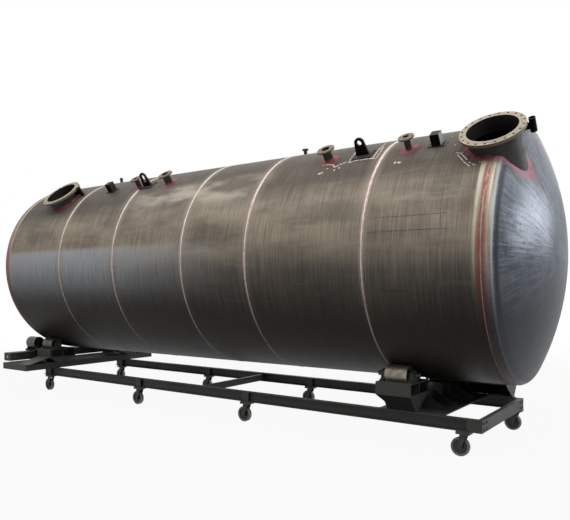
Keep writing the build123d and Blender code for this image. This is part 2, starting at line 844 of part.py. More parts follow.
fork_half_gap = wheel_hub_width / 2 + fork_gap
crown_top = caster_height - contact_gap
crown_bottom = crown_top - fork_crown_height
for side, side_name, caster_x in ((-1, "near", near_caster_x), (1, "far", far_caster_x)):
    for number, x in enumerate(caster_x, start=1):
        caster_y = side * rail_half_spacing
        axle_x = x - caster_trail
        with BuildPart() as fork:
            with BuildSketch(Plane.XY.offset(crown_bottom)):
                with Locations((x, caster_y)):
                    Circle(fork_crown_radius)
                    Rectangle(fork_shoulder_length, (fork_half_gap + fork_thickness) * 2)
            extrude(amount=fork_crown_height)
            for cheek in (-1, 1):
                cheek_y = caster_y + cheek * (fork_half_gap + fork_thickness / 2)
                with BuildSketch(Plane.XZ.offset(-cheek_y)):
                    with Locations((axle_x, wheel_radius)):
                        Circle(fork_foot_radius)
                    with Locations((x, crown_bottom + fork_crown_height / 2)):
                        Rectangle(fork_shoulder_length, fork_crown_height)
                    make_hull()
                extrude(amount=fork_thickness / 2, both=True)
            with BuildSketch(Plane.XZ.offset(-caster_y)):
                with Locations((axle_x, wheel_radius)):
                    Circle(axle_radius)
            extrude(amount=fork_half_gap + fork_thickness, both=True)
        save(fork, f"{side_name}_caster_fork_{number}")

        axle_line = Axis((axle_x, caster_y, wheel_radius), (0, 1, 0))
        rim_inner = wheel_radius - wheel_rim_thickness
        with BuildPart() as wheel:
            with BuildSketch(Plane((axle_x, caster_y, wheel_radius), x_dir=(0, 1, 0), z_dir=(1, 0, 0))):
                bore = axle_radius + axle_clearance
                with Locations((0, (bore + wheel_hub_radius) / 2)):
                    Rectangle(wheel_hub_width, wheel_hub_radius - bore)
                with Locations((0, (bore + wheel_radius - wheel_edge_radius) / 2)):
                    Rectangle(wheel_web_thickness, wheel_radius - wheel_edge_radius - bore)
                with Locations((0, (rim_inner + wheel_radius) / 2)):
                    RectangleRounded(wheel_width, wheel_rim_thickness, wheel_edge_radius)
            revolve(axis=axle_line)
        save(wheel, f"{side_name}_caster_wheel_{number}")
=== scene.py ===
# %% [markdown]
# # A horizontal storage tank on its turning rollers
# The imported CAD model is the fixed frame: what is added below is fitted to the boxes of its nodes, in
# metres, with X along the tank and Z up. This first step loads it.

# %% Load the imported model
import math
import bmesh
import bpy
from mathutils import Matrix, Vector


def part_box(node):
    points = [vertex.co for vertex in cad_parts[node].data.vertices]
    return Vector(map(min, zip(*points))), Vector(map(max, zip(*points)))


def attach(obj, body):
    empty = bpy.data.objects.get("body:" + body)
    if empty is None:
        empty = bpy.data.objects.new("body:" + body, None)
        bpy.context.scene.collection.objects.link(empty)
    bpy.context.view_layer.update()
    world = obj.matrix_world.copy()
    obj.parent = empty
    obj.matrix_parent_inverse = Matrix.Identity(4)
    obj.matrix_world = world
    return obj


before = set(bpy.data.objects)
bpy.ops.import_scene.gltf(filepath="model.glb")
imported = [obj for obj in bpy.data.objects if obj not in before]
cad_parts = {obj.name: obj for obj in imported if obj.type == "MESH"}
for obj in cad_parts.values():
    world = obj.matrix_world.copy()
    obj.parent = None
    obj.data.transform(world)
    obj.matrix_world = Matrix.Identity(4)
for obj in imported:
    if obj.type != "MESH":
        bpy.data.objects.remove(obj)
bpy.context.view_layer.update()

scene = bpy.context.scene
scene.view_settings.view_transform = "Standard"

# %% [markdown]
# First come the places that the camera and the finishes need: the tank's axis, the girth seams between
# the rolled courses, and each fitting's foot on the shell. They are read from the nodes' boxes. How far a
# fitting leans from the top, the radii of its neck and bore, and how far its flange stands off the shell
# can't be read from a box, so they repeat the CAD model's figures.

# %% Places on the tank
manway_lean = math.radians(41)
nozzle_lean = math.radians(37)
flange_standout = 0.150
manways = ["right_manway", "left_manway"]
large_nozzles = ["large_nozzle_right", "large_nozzle_left"]
small_nozzles = ["small_nozzle_right", "small_nozzle_left"]
nozzles = large_nozzles + small_nozzles
neck_and_bore = {
    **dict.fromkeys(manways, (0.27, 0.26)),
    **dict.fromkeys(large_nozzles, (0.057, 0.051)),
    **dict.fromkeys(small_nozzles, (0.038, 0.033)),
}

course_boxes = [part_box(f"shell_course_{i}") for i in range(1, 7)]
seams = [low.x for low, high in course_boxes] + [course_boxes[-1][1].x]
axis_height = (course_boxes[0][0].z + course_boxes[0][1].z) / 2
shell_radius = (course_boxes[0][1].y - course_boxes[0][0].y) / 2
flange_face = shell_radius + flange_standout


def foot_on_shell(node):
    """A fitting's place along the tank and its lean from the top towards the near side."""
    low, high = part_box(node)
    return (low.x + high.x) / 2, manway_lean if node in manways else nozzle_lean


def on_shell(x, lean, lift=0.0):
    """The point at this place along the tank and this lean, on the shell or lifted off it."""
    reach = shell_radius + lift
    return Vector((x, -math.sin(lean) * reach, axis_height + math.cos(lean) * reach))


feet = {name: foot_on_shell(name) for name in nozzles + manways}
print("seams at", [round(x, 3) for x in seams], "axis at", round(axis_height, 3))

# %% [markdown]
# The camera stands beside the right end, a little below the tank's axis, and is turned about 35 degrees
# to the left. Its place was worked out from the girth seams and the head's outline, and so was the point
# of the picture that it faces, in pixels. It is almost level and its view is shifted up a little, so
# upright lines stay almost upright.

# %% Camera
picture_width, picture_height = 570, 520
focal_pixels = 607.841
aim_x, aim_y = 290.564, 305.544
film_width = 36
tilt_down, turn_left = math.radians(1.561), math.radians(35.075)
camera = bpy.data.objects.new("camera", bpy.data.cameras.new("camera"))
scene.collection.objects.link(camera)
camera.location = (5.9965, -7.335, axis_height - 0.3873)
camera.rotation_euler = (math.pi / 2 - tilt_down, 0, turn_left)
camera.data.lens = film_width * focal_pixels / picture_width
camera.data.sensor_width = film_width
camera.data.shift_x = (picture_width / 2 - aim_x) / picture_width
camera.data.shift_y = (aim_y - picture_height / 2) / picture_width
camera.data.clip_end = 200
scene.camera = camera
print("lens", round(camera.data.lens, 2), "mm")

# %% [markdown]
# Real metal finishes are built from a few kinds of step: products, soft thresholds, noise stretched along
# the grain, and mixes of two colours. Most helpers add such a step as nodes and return its output, so that
# a finish reads like a recipe.

# %% Helpers for finishes


def new_finish(name, metal, rough, shine=0.5):
    """A new material with its plain numbers set, its node tree and its shader."""
    finish = bpy.data.materials.new(name)
    finish.use_nodes = True
    skin = finish.node_tree.nodes["Principled BSDF"]
    skin.inputs["Metallic"].default_value = metal
    skin.inputs["Roughness"].default_value = rough
    skin.inputs["Specular IOR Level"].default_value = shine
    return finish, finish.node_tree, skin


def feed(tree, socket, value):
    """Link the socket to another node's output, or give it a plain value."""
    if isinstance(value, bpy.types.NodeSocket):
        tree.links.new(value, socket)
    else:
        socket.default_value = value


def calc(tree, operation, first, second=0.0):
    node = tree.nodes.new("ShaderNodeMath")
    node.operation = operation
    feed(tree, node.inputs[0], first)
    feed(tree, node.inputs[1], second)
    return node.outputs[0]


def times(tree, first, *others):
    for other in others:
        first = calc(tree, "MULTIPLY", first, other)
    return first


def fade(tree, value, start, end, low=0.0, high=1.0):
    """A soft step from low, where the value is at the start, to high, where it is at the end."""
    node = tree.nodes.new("ShaderNodeMapRange")
    node.interpolation_type = "SMOOTHSTEP"
    for socket, number in zip(node.inputs[:5], (value, start, end, low, high)):
        feed(tree, socket, number)
    return node.outputs[0]


def band(tree, value, outer_low, inner_low, inner_high, outer_high):
    """One between the two inner values, and soft down to zero at the outer ones."""
    rise = fade(tree, value, outer_low, inner_low)
    return times(tree, rise, fade(tree, value, inner_high, outer_high, 1.0, 0.0))


def grain(tree, vector, scale, detail=4.0, crumble=0.55):
    node = tree.nodes.new("ShaderNodeTexNoise")
    feed(tree, node.inputs["Vector"], vector)
    node.inputs["Scale"].default_value = scale
    node.inputs["Detail"].default_value = detail
    node.inputs["Roughness"].default_value = crumble
    return node.outputs["Fac"]


def join(tree, x, y, z=0.0):
    node = tree.nodes.new("ShaderNodeCombineXYZ")
    for socket, value in zip(node.inputs, (x, y, z)):
        feed(tree, socket, value)
    return node.outputs[0]


def streaks(tree, first, second, rates, detail=4.0, crumble=0.55):
    """Noise over two measures, each at its own rate, so that it is drawn out along the slower one."""
    spread = join(tree, times(tree, first, rates[0]), times(tree, second, rates[1]))
    return grain(tree, spread, 1.0, detail, crumble)


def tint(tree, amount, first, second):
    """The first colour, with this amount of the second mixed in."""
    node = tree.nodes.new("ShaderNodeMix")
    node.data_type = "RGBA"
    feed(tree, node.inputs["Factor"], amount)
    for socket, colour in ((node.inputs[6], first), (node.inputs[7], second)):
        feed(tree, socket, colour if isinstance(colour, bpy.types.NodeSocket) else (*colour, 1.0))
    return node.outputs[2]


def raise_surface(tree, skin, height, strength, depth):
    node = tree.nodes.new("ShaderNodeBump")
    node.inputs["Strength"].default_value = strength
    node.inputs["Distance"].default_value = depth
    feed(tree, node.inputs["Height"], height)
    tree.links.new(node.outputs["Normal"], skin.inputs["Normal"])


print("finish helpers ready")

# %% [markdown]
# The tank's finishes follow its own measures: the length along it, the arc round it from the top, and the
# distance from its axis. A fitting has two more, the height along its own axis and the distance from that
# axis. Nodes work them out from each piece's own coordinates, so a stain stays in place as the tank turns.

# %% Helpers for places


def place(tree):
    return tree.nodes.new("ShaderNodeTexCoord").outputs["Object"]


def split(tree, vector):
    node = tree.nodes.new("ShaderNodeSeparateXYZ")
    feed(tree, node.inputs[0], vector)
    return node.outputs


def stretch(tree, vector, factors):
    node = tree.nodes.new("ShaderNodeVectorMath")
    node.operation = "MULTIPLY"
    feed(tree, node.inputs[0], vector)
    node.inputs[1].default_value = factors
    return node.outputs[0]


def distance_to(tree, point):
    node = tree.nodes.new("ShaderNodeVectorMath")
    node.operation = "DISTANCE"
    feed(tree, node.inputs[0], place(tree))
    node.inputs[1].default_value = point
    return node.outputs["Value"]


def off_axis(tree, first, second):
    """The distance from an axis, from the two steps square to it."""
    squares = calc(tree, "ADD", times(tree, first, first), times(tree, second, second))
    return calc(tree, "SQRT", squares)


def round_the_tank(tree):
    """Length along the axis, arc length from the top, and distance from the axis."""
    x, y, z = split(tree, place(tree))
    up = calc(tree, "SUBTRACT", z, axis_height)
    arc = times(tree, calc(tree, "ARCTAN2", y, up), shell_radius)
    return x, arc, off_axis(tree, y, up)


def about_fitting(tree, fitting):
    """Height over the tank's axis along the fitting's own axis, and the distance from that axis."""
    fitting_x, lean = feet[fitting]
    x, y, z = split(tree, place(tree))
    up = calc(tree, "SUBTRACT", z, axis_height)
    along = calc(tree, "SUBTRACT", x, fitting_x)
    height = calc(tree, "SUBTRACT", times(tree, up, math.cos(lean)), times(tree, y, math.sin(lean)))
    across = calc(tree, "ADD", times(tree, up, math.sin(lean)), times(tree, y, math.cos(lean)))
    return height, off_axis(tree, along, across)


def nearest(tree, x, places):
    """The distance along the tank to the nearest of these places."""
    gaps = [calc(tree, "ABSOLUTE", calc(tree, "SUBTRACT", x, at)) for at in places]
    best = gaps[0]
    for gap in gaps[1:]:
        best = calc(tree, "MINIMUM", best, gap)
    return best


print("place helpers ready for", len(feet), "fittings")

# %% [markdown]
# The plate is ground bright along each seam. Where the welds were tested, a chalky film lies beside the
# girth seams, and red dye has stained the edges of the seams and the feet of the fittings. Soft thresholds
# on the distance to a seam or a foot give the stains, and noise breaks up their edges.

# %% Stains along the welds
ground_steel = (0.36, 0.315, 0.25)
chalky_film = (0.74, 0.66, 0.62)
end_strip = (0.4, 0.34, 0.25)
bright_edge = (0.86, 0.79, 0.65)
rust_smear = (0.3, 0.125, 0.09)
seam_dye = (0.4, 0.09, 0.085)
foot_dye = (0.46, 0.13, 0.16)
soot_black = (0.03, 0.026, 0.024)
# painted shade: black for the inside of the tank and for the bores
painted_inside_shade = (0.012, 0.01, 0.009)


def add_seam_stains(tree, colour, x, arc):
    """Stain the colour along the seams, and hand back the ragged noise too."""
    end_gap = nearest(tree, x, [seams[0], seams[-1]])
    girth_gap = nearest(tree, x, seams[1:-1])
    around = calc(tree, "ABSOLUTE", arc)
    ragged = streaks(tree, x, arc, (9.0, 3.0), 5.0)
    dashes = streaks(tree, x, arc, (30.0, 14.0))
    brushed = streaks(tree, x, arc, (60.0, 1.6))
    ground = fade(tree, girth_gap, 0.03, 0.13, 0.55, 0.0)
    ground = times(tree, ground, fade(tree, brushed, 0.3, 0.65))
    colour = tint(tree, ground, colour, ground_steel)
    film = fade(tree, girth_gap, 0.016, 0.034, 0.7, 0.0)
    film = times(tree, film, fade(tree, brushed, 0.3, 0.6, 0.35, 1.0))
    colour = tint(tree, film, colour, chalky_film)
    upper = fade(tree, around, shell_radius * 1.4, shell_radius * 2.1, 1.0, 0.12)
    strip = fade(tree, end_gap, 0.055, 0.1, 0.9, 0.0)
    strip = times(tree, strip, fade(tree, brushed, 0.25, 0.55, 0.4, 1.0), upper)
    colour = tint(tree, strip, colour, end_strip)
    edges = band(tree, end_gap, 0.03, 0.056, 0.062, 0.098)
    edges = times(tree, edges, fade(tree, brushed, 0.32, 0.62, 0.15, 0.9))
    edges = times(tree, edges, fade(tree, ragged, 0.3, 0.6, 0.45, 1.0), upper)
    colour = tint(tree, edges, colour, bright_edge)
    smeared = band(tree, around, shell_radius * 1.2, shell_radius * 1.55, 4.2, 4.5)
    smeared = times(tree, smeared, fade(tree, end_gap, 0.03, 0.085, 0.8, 0.0))
    smeared = times(tree, smeared, fade(tree, ragged, 0.3, 0.55, 0.4, 1.0))
    colour = tint(tree, smeared, colour, rust_smear)
    wander = calc(tree, "ADD", end_gap, fade(tree, dashes, 0.3, 0.7, -0.008, 0.008))
    end_lines = band(tree, wander, 0.006, 0.012, 0.02, 0.032)
    girth_lines = band(tree, girth_gap, 0.009, 0.012, 0.015, 0.021)
    lines = calc(tree, "MAXIMUM", end_lines, girth_lines)
    dye = times(tree, lines, fade(tree, dashes, 0.38, 0.52))
    return tint(tree, dye, colour, seam_dye), ragged


def add_foot_stains(tree, colour, ragged, names):
    """Soot and dye round the necks, and black painted shade in their bores, but not on the opposite side
    of the tank.
    """
    patches = grain(tree, place(tree), 16.0, 4.0, 0.6)
    for name in names:
        neck, bore = neck_and_bore[name]
        spread = 0.06 if name in manways else 0.1
        height, outward = about_fitting(tree, name)
        opposite = fade(tree, height, 0.2, 0.6, 9.0, 0.0)
        gap = calc(tree, "ADD", outward, opposite)
        soot = fade(tree, gap, neck, neck + 0.14, 0.9, 0.0)
        soot = times(tree, soot, fade(tree, ragged, 0.42, 0.6))
        colour = tint(tree, soot, colour, soot_black)
        edge = calc(tree, "ADD", gap, fade(tree, patches, 0.3, 0.7, -0.03, 0.03))
        dye = fade(tree, edge, neck + spread * 0.4, neck + spread, 0.85, 0.0)
        dye = times(tree, dye, fade(tree, patches, 0.38, 0.5, 0.35, 1.0))
        colour = tint(tree, dye, colour, foot_dye)
        # painted shade: black within the bore
        hole = fade(tree, gap, bore + 0.002, bore + 0.006, 1.0, 0.0)
        colour = tint(tree, hole, colour, painted_inside_shade)
    return colour


print("stains for", len(seams), "seams and", len(feet), "feet")

# %% [markdown]
# The shell is hot rolled plate, still in its mill scale: dark warm grey with fine lines round the tank
# from the rolling, cloudy patches, and rubs along the tank from handling. Noise that is stretched round
# the tank or along it gives the lines and the rubs. Bands set by the lean from the top are painted light:
# a painted dark reflection on the top, pale painted highlights part way down, and golden and silver
# painted sheen below them. The inside is painted black as shade, and the underside is painted nearly black
# as shade.

# %% Shell plate
plate_dark, plate_light = (0.105, 0.09, 0.076), (0.27, 0.232, 0.19)


def add_painted_sheen(tree, colour, x, arc, flecks):
    """Painted light by the lean from the top: a painted dark reflection on the top, pale painted
    highlights part way down, a golden painted sheen below them, and a silver painted sheen towards the
    left.
    """
    drift = streaks(tree, x, arc, (0.9, 2.5))
    down = calc(tree, "DIVIDE", calc(tree, "ABSOLUTE", arc), shell_radius)
    # painted dark reflection: the top of the shell is darkened
    colour = tint(tree, fade(tree, down, 0.85, 1.2, 0.62, 0.0), colour, (0.06, 0.053, 0.046))
    # painted highlights: pale patches part way down from the top, near the middle of the tank
    pale = times(tree, band(tree, down, 0.66, 0.82, 0.95, 1.12), band(tree, x, -1.6, -0.7, 0.9, 1.5))
    pale = times(tree, pale, fade(tree, drift, 0.4, 0.62, 0.12, 0.8))
    colour = tint(tree, pale, colour, (0.5, 0.46, 0.395))
    # painted sheen: a golden band lower down the sides
    golden = band(tree, down, 0.9, 1.2, 1.48, 1.72)
    golden = times(tree, golden, fade(tree, drift, 0.36, 0.62, 0.3, 1.0))
    golden = times(tree, golden, fade(tree, flecks, 0.36, 0.6, 0.42, 0.85))
    colour = tint(tree, golden, colour, (0.42, 0.365, 0.285))
    # painted sheen: a silver band below the golden one, towards the left
    silver = times(tree, band(tree, down, 1.38, 1.45, 1.76, 2.1), fade(tree, x, 1.4, -2.4, 0.05, 1.0))
    silver = times(tree, silver, fade(tree, flecks, 0.3, 0.6, 0.45, 1.0))
    return tint(tree, silver, colour, (0.5, 0.53, 0.575))


def make_shell_plate():
    finish, tree, skin = new_finish("mill_scale_plate", 0.06, 0.5, 0.12)
    x, arc, reach = round_the_tank(tree)
    rolling = streaks(tree, x, arc, (16.0, 0.8), 5.0, 0.6)
    flecks = streaks(tree, x, arc, (95.0, 2.2), 4.0, 0.65)
    hairlines = streaks(tree, x, arc, (190.0, 2.0), 3.0, 0.6)
    rubs = streaks(tree, x, arc, (0.7, 6.0), 5.0, 0.65)
    clouds = streaks(tree, x, arc, (0.8, 0.8), 6.0, 0.6)
    mixed = calc(tree, "ADD", times(tree, rolling, 0.4), times(tree, clouds, 0.6))
    colour = tint(tree, fade(tree, mixed, 0.36, 0.66), plate_dark, plate_light)
    colour = tint(tree, fade(tree, flecks, 0.4, 0.62, 0.38, 0.0), colour, (0.06, 0.052, 0.044))
    colour = tint(tree, fade(tree, flecks, 0.55, 0.72, 0.0, 0.3), colour, (0.36, 0.315, 0.255))
    colour = tint(tree, fade(tree, hairlines, 0.4, 0.75, 0.0, 0.35), colour, (0.065, 0.056, 0.048))
    colour = tint(tree, fade(tree, rubs, 0.42, 0.32, 0.0, 0.4), colour, (0.07, 0.062, 0.054))
    colour = tint(tree, fade(tree, rubs, 0.56, 0.68, 0.0, 0.35), colour, (0.4, 0.352, 0.285))
    cool = times(tree, fade(tree, x, 0.5, -3.8), fade(tree, clouds, 0.4, 0.65, 0.0, 0.5))
    colour = tint(tree, cool, colour, (0.13, 0.131, 0.135))
    colour = add_painted_sheen(tree, colour, x, arc, flecks)
    colour, ragged = add_seam_stains(tree, colour, x, arc)
    colour = add_foot_stains(tree, colour, ragged, nozzles + manways)
    around = calc(tree, "ABSOLUTE", arc)
    # painted shade: the underside is darkened nearly to black
    underside = fade(tree, around, shell_radius * 1.52, shell_radius * 2.25, 0.0, 0.96)
    colour = tint(tree, underside, colour, (0.016, 0.014, 0.012))
    # painted shade: the inside face of the shell is black
    inside = fade(tree, reach, shell_radius - 0.006, shell_radius - 0.003, 1.0, 0.0)
    feed(tree, skin.inputs["Base Color"], tint(tree, inside, colour, painted_inside_shade))
    feed(tree, skin.inputs["Roughness"], fade(tree, flecks, 0.3, 0.7, 0.58, 0.44))
    raise_surface(tree, skin, hairlines, 0.12, 0.002)
    return finish


shell_plate = make_shell_plate()
print("shell plate has", len(shell_plate.node_tree.nodes), "nodes")

# %% [markdown]
# The heads were pressed and then ground, so they are cooler than the shell. Fine scratches fan out from
# the centre, crossed by a few that run round it. The knuckle, where the head turns into the shell, keeps a
# dark line with a bright one beside it. Two pale patches on the right crown are painted highlights, the
# lower half is darkened as painted shade, and a punch mark sits at the centre.

# %% Ground heads
head_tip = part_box("right_head")[1].x
# painted highlights: two pale patches on the right crown, each with its spread and strength
painted_highlight_spots = [
    ((head_tip - 0.097, -0.68, axis_height + 0.34), 0.5, 1.0),
    ((head_tip - 0.182, -1.02, axis_height + 0.2), 0.36, 0.7),
]


def make_head_plate():
    finish, tree, skin = new_finish("ground_head_plate", 0.12, 0.42, 0.15)
    x, arc, reach = round_the_tank(tree)
    here = place(tree)
    up = calc(tree, "SUBTRACT", split(tree, here)[2], axis_height)
    fan = streaks(tree, arc, reach, (22.0, 3.0), 6.0, 0.7)
    rings = streaks(tree, arc, reach, (7.0, 26.0), 5.0, 0.7)
    clouds = grain(tree, here, 2.4, 5.0, 0.6)
    scratches = calc(tree, "ADD", times(tree, fan, 0.75), times(tree, rings, 0.25))
    dull = tint(tree, fade(tree, clouds, 0.35, 0.65), (0.064, 0.072, 0.09), (0.138, 0.154, 0.19))
    colour = tint(tree, fade(tree, scratches, 0.42, 0.62, 0.0, 0.55), dull, (0.33, 0.355, 0.41))
    scores = streaks(tree, arc, reach, (48.0, 5.0), 3.0, 0.7)
    scored = fade(tree, scores, 0.56, 0.68, 0.0, 0.6)
    colour = tint(tree, scored, colour, (0.04, 0.042, 0.048))
    for spot, spread, strength in painted_highlight_spots:
        shown = fade(tree, distance_to(tree, spot), 0.05, spread, strength, 0.0)
        shown = times(tree, shown, fade(tree, scratches, 0.38, 0.58, 0.3, 1.0))
        shown = times(tree, shown, fade(tree, scored, 0.1, 0.5, 1.0, 0.45))
        colour = tint(tree, shown, colour, (0.72, 0.77, 0.87))
    past_seam = calc(tree, "SUBTRACT", calc(tree, "ABSOLUTE", x), abs(seams[-1]))
    colour = tint(tree, band(tree, past_seam, 0.105, 0.122, 0.128, 0.15), colour, (0.035, 0.036, 0.04))
    colour = tint(tree, band(tree, past_seam, 0.08, 0.09, 0.098, 0.11), colour, (0.5, 0.52, 0.56))
    colour, ragged = add_seam_stains(tree, colour, x, arc)
    colour = add_foot_stains(tree, colour, ragged, ["right_manway"])
    # painted shade: the lower half of the head is darkened
    colour = tint(tree, fade(tree, up, 0.15, -0.8, 0.0, 0.85), colour, (0.022, 0.024, 0.029))
    colour = tint(tree, fade(tree, reach, 0.012, 0.02, 1.0, 0.0), colour, (0.02, 0.02, 0.02))
    feed(tree, skin.inputs["Base Color"], colour)
    feed(tree, skin.inputs["Roughness"], fade(tree, scratches, 0.3, 0.7, 0.36, 0.52))
    raise_surface(tree, skin, scratches, 0.15, 0.002)
    return finish


head_plate = make_head_plate()
print("head plate has", len(head_plate.node_tree.nodes), "nodes")

# %% [markdown]
# The flanges are bare machined rings with a little rust, and their necks are dark; the bores are painted
# black as shade.
# Three distances tell them apart: the height along the fitting's own axis, the distance from that axis,
# and the height over the shell, which leaves the red dye along the weld at the foot.

# %% Flanges and necks


def make_flange_steel(fitting, thickness, ring_colour, face_colour, rust):
    finish, tree, skin = new_finish(fitting + "_steel", 0.1, 0.5, 0.35)
    bore = neck_and_bore[fitting][1]
    flange_back = flange_face - thickness
    height, outward = about_fitting(tree, fitting)
    x, _, reach = round_the_tank(tree)
    speckle = grain(tree, place(tree), 55.0, 5.0, 0.65)
    patches = grain(tree, place(tree), 9.0, 4.0)
    on_face = fade(tree, height, flange_face - 0.006, flange_face - 0.003)
    bare = tint(tree, on_face, ring_colour, face_colour)
    bare = tint(tree, fade(tree, patches, 0.45, 0.7, 0.0, 0.4), bare, tuple(v * 0.6 for v in face_colour))
    bare = tint(tree, fade(tree, speckle, 0.54, 0.7, 0.0, rust), bare, (0.15, 0.095, 0.055))
    dark = tint(tree, fade(tree, speckle, 0.4, 0.7), (0.014, 0.013, 0.012), (0.05, 0.045, 0.041))
    foot = band(tree, reach, shell_radius - 0.012, shell_radius, shell_radius + 0.012, shell_radius + 0.03)
    on_course = fade(tree, x, seams[-1] - 0.02, seams[-1] + 0.03, 1.0, 0.0)
    dye = times(tree, foot, on_course, fade(tree, patches, 0.4, 0.55))
    dark = tint(tree, dye, dark, (0.4, 0.1, 0.14))
    ring = fade(tree, height, flange_back - 0.004, flange_back + 0.002)
    colour = tint(tree, ring, dark, bare)
    # painted shade: black inside the bore
    inside = fade(tree, outward, bore + 0.0015, bore + 0.004, 1.0, 0.0)
    feed(tree, skin.inputs["Base Color"], tint(tree, inside, colour, (0.012, 0.011, 0.01)))
    feed(tree, skin.inputs["Roughness"], fade(tree, patches, 0.3, 0.7, 0.45, 0.65))
    raise_surface(tree, skin, speckle, 0.15, 0.002)
    return finish


manway_look = ((0.17, 0.14, 0.105), (0.4, 0.355, 0.285), 0.5)
nozzle_look = ((0.09, 0.072, 0.05), (0.22, 0.18, 0.125), 0.6)
flange_kinds = [
    (manways, 0.036, manway_look),
    (large_nozzles, 0.022, nozzle_look),
    (small_nozzles, 0.020, nozzle_look),
]
flange_finishes = {}
for fittings, thickness, look in flange_kinds:
    for fitting in fittings:
        flange_finishes[fitting] = make_flange_steel(fitting, thickness, *look)
print(len(flange_finishes), "flange finishes")

# %% [markdown]
# The stand is welded from rolled beams and painted dark, with paler scuffs and scratches, dust on what
# faces up, and painted shade on what faces down and on the rails' webs. One recipe with other colours also
# serves the lugs, cleats, bearings and casters.

# %% Painted and bare steel of the stand


def make_worn_paint(name, base, scuff, dust, metal, rough, scale, web_y=None, end_face=None):
    """Scuffed and dusty paint, with painted shade on what faces down and on a rail's web, and bright on a
    cut end, where these are given.
    """
    finish, tree, skin = new_finish(name, metal, rough, 0.3)
    here = place(tree)
    clouds = grain(tree, here, 2.2 * scale, 5.0, 0.6)
    scratches = grain(tree, stretch(tree, here, (3.0, 3.0, 30.0)), 3.0 * scale, 4.0, 0.7)
    specks = grain(tree, here, 60.0 * scale, 3.0)
    endward, _, facing = split(tree, tree.nodes.new("ShaderNodeNewGeometry").outputs["Normal"])
    colour = tint(tree, fade(tree, clouds, 0.35, 0.68), base, scuff)
    colour = tint(tree, fade(tree, scratches, 0.62, 0.75, 0.0, 0.6), colour, dust)
    settled = times(tree, fade(tree, facing, 0.6, 1.0, 0.0, 0.5), fade(tree, specks, 0.3, 0.6))
    colour = tint(tree, settled, colour, dust)
    # painted shade: faces that face down are darkened
    painted_shade_colour = tuple(v * 0.35 for v in base)
    colour = tint(tree, fade(tree, facing, -0.02, -0.3, 0.0, 0.8), colour, painted_shade_colour)
    if web_y:
        # painted shade: a rail's web is darkened
        sideways = calc(tree, "ABSOLUTE", split(tree, here)[1])
        off_web = calc(tree, "ABSOLUTE", calc(tree, "SUBTRACT", sideways, web_y))
        colour = tint(tree, fade(tree, off_web, 0.01, 0.025, 0.5, 0.0), colour, painted_shade_colour)
    if end_face:
        colour = tint(tree, fade(tree, endward, 0.6, 0.9), colour, end_face)
    feed(tree, skin.inputs["Base Color"], colour)
    feed(tree, skin.inputs["Roughness"], fade(tree, clouds, 0.3, 0.7, rough - 0.08, rough + 0.12))
    feed(tree, skin.inputs["Specular IOR Level"], fade(tree, facing, -0.02, -0.3, 0.3, 0.03))
    raise_surface(tree, skin, specks, 0.12, 0.002)
    return finish


rail_low, rail_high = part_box("near_rail")
rail_y = abs(rail_low.y + rail_high.y) / 2
grey = ((0.036, 0.036, 0.035), (0.075, 0.075, 0.07), (0.14, 0.135, 0.12))
scale_black = ((0.014, 0.012, 0.011), (0.035, 0.03, 0.026), (0.08, 0.065, 0.05))
iron_grey = ((0.028, 0.028, 0.027), (0.06, 0.057, 0.053), (0.12, 0.11, 0.1))
caster_grey = ((0.042, 0.04, 0.038), (0.085, 0.081, 0.077), (0.15, 0.142, 0.13))
cut_bright = (0.42, 0.43, 0.45)
stand_paint = make_worn_paint("stand_paint", *grey, 0.1, 0.5, 1.0)
rail_paint = make_worn_paint("rail_paint", *grey, 0.1, 0.5, 1.0, web_y=rail_y)
black_steel = make_worn_paint("black_scale", *scale_black, 0.1, 0.55, 3.0)
cleat_steel = make_worn_paint("cleat_steel", *scale_black, 0.1, 0.55, 3.0, end_face=cut_bright)
bearing_iron = make_worn_paint("bearing_iron", *iron_grey, 0.2, 0.5, 4.0)
caster_steel = make_worn_paint("caster_steel", *caster_grey, 0.2, 0.45, 4.0)
print("stand finishes ready, rails at", round(rail_y, 3), "m from the middle")

# %% [markdown]
# The turning rollers are bare steel, dark inside their rims, and the right pair is worn bright brown where
# the tank runs on it. The caster wheels are dark iron with a paler tyre. In both, the distance from the
# wheel's own axis tells tread from side, so each roller and wheel gets its own copy of the recipe.

# %% Rollers and wheels


def make_worn_tread(name, centre, along, radius, rim_share, tread, side):
    """A worn tread outside this share of the radius, and a dark side within it."""
    finish, tree, skin = new_finish(name, 0.5, 0.42)
    x, y, z = split(tree, place(tree))
    length, across, middle = (x, y, centre.y) if along == "x" else (y, x, centre.x)
    reach = off_axis(tree, calc(tree, "SUBTRACT", across, middle), calc(tree, "SUBTRACT", z, centre.z))
    turned = streaks(tree, length, reach, (130.0, 30.0))
    patches = grain(tree, place(tree), 14.0, 5.0, 0.6)
    worn = tint(tree, fade(tree, turned, 0.32, 0.68), tread, tuple(v * 1.8 for v in tread))
    worn = tint(tree, fade(tree, patches, 0.5, 0.72, 0.0, 0.7), worn, side)
    rim = fade(tree, reach, radius * rim_share, radius * (rim_share + 0.04))
    feed(tree, skin.inputs["Base Color"], tint(tree, rim, side, worn))
    feed(tree, skin.inputs["Roughness"], fade(tree, patches, 0.3, 0.7, 0.36, 0.58))
    raise_surface(tree, skin, turned, 0.1, 0.001)
    return finish


def tread_look(name):
    """The axis it turns about, the rim's share of the radius, and the colours of tread and side."""
    if "caster_wheel" in name:
        return "y", 0.72, (0.12, 0.112, 0.102), (0.026, 0.025, 0.024)
    if name.startswith("right"):
        return "x", 0.95, (0.26, 0.225, 0.185), (0.045, 0.04, 0.035)
    return "x", 0.95, (0.09, 0.08, 0.07), (0.03, 0.027, 0.024)


